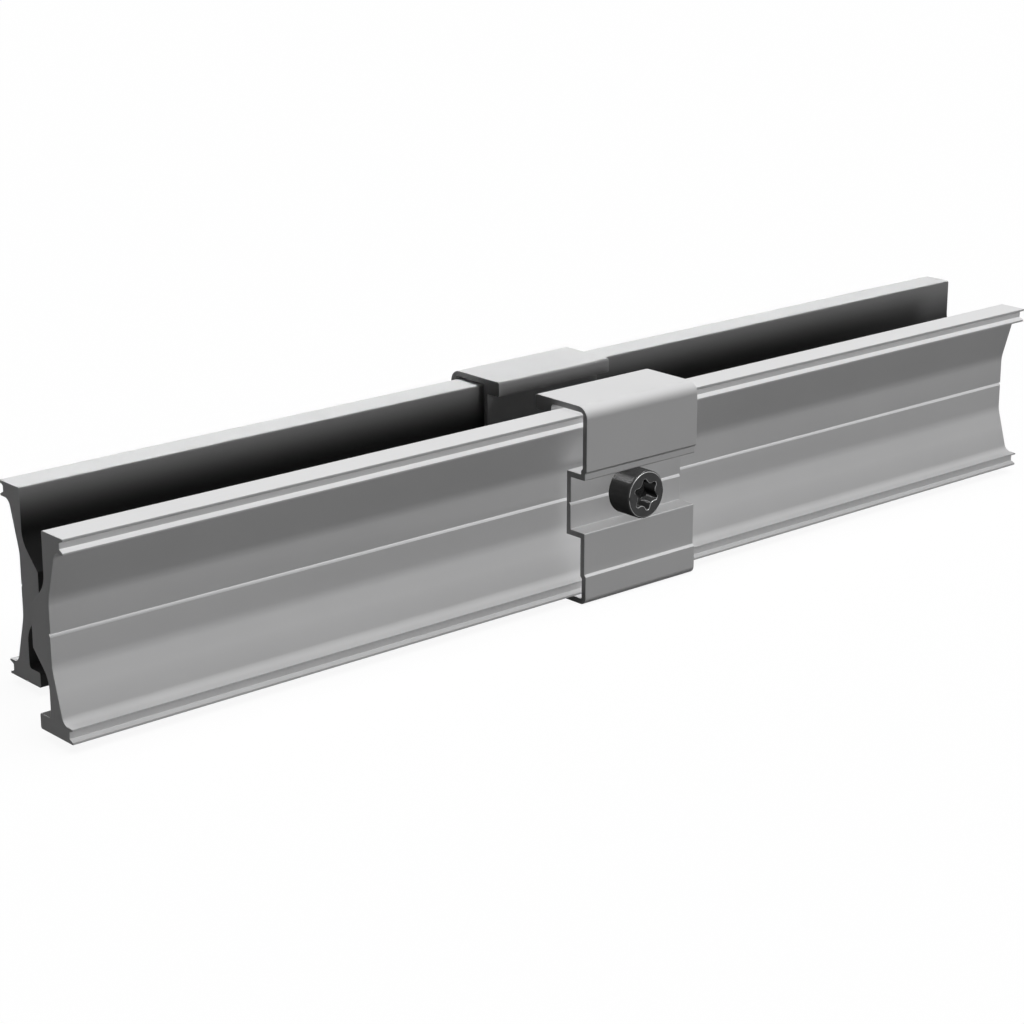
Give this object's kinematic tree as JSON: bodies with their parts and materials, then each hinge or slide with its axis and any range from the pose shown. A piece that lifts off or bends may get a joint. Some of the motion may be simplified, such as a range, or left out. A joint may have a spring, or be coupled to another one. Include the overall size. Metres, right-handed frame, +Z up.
{
  "type": "solar rail connector",
  "caption": "Rail connector: two parallel staggered extruded bars held at mid-length by a pair of clamp brackets and a cross bolt with its nut.",
  "frame": {"origin": "on the standing plane of the brackets, below the bolt and midway between the bars", "axes": "+X along the bars, +Y from the bolt head to the nut, +Z up"},
  "size_m": [0.3574, 0.0578, 0.0548],
  "materials": {
    "bar_aluminium": "satin mill finish",
    "clip_aluminium": "satin mill finish",
    "bolt_steel": "dark polished steel",
    "nut_steel": "bright plain steel"
  },
  "bodies": {
    "bars": {"front_bar": "bar_aluminium", "back_bar": "bar_aluminium"},
    "front_clamp": {"front_clip": "clip_aluminium"},
    "bolt": {"clamp_bolt": "bolt_steel"},
    "back_clamp": {"back_clip": "clip_aluminium", "clamp_nut": "nut_steel"}
  },
  "joints": [
    {"name": "front_close", "type": "slide", "parent": "bars", "child": "front_clamp", "axis": [0, 1, 0], "range_m": [0, 0.001]},
    {"name": "bolt_turn", "type": "hinge", "parent": "front_clamp", "child": "bolt", "pos_m": [0, 0, 0.0274], "axis": [0, 1, 0], "range_deg": [0, 576]},
    {"name": "back_close", "type": "slide", "parent": "bars", "child": "back_clamp", "axis": [0, -1, 0], "range_m": [0, 0.001]}
  ],
  "couplings": [
    {"joint": "bolt_turn", "follows": "front_close", "rad_per_m": 10053},
    {"joint": "back_close", "follows": "front_close", "ratio": 1}
  ]
}
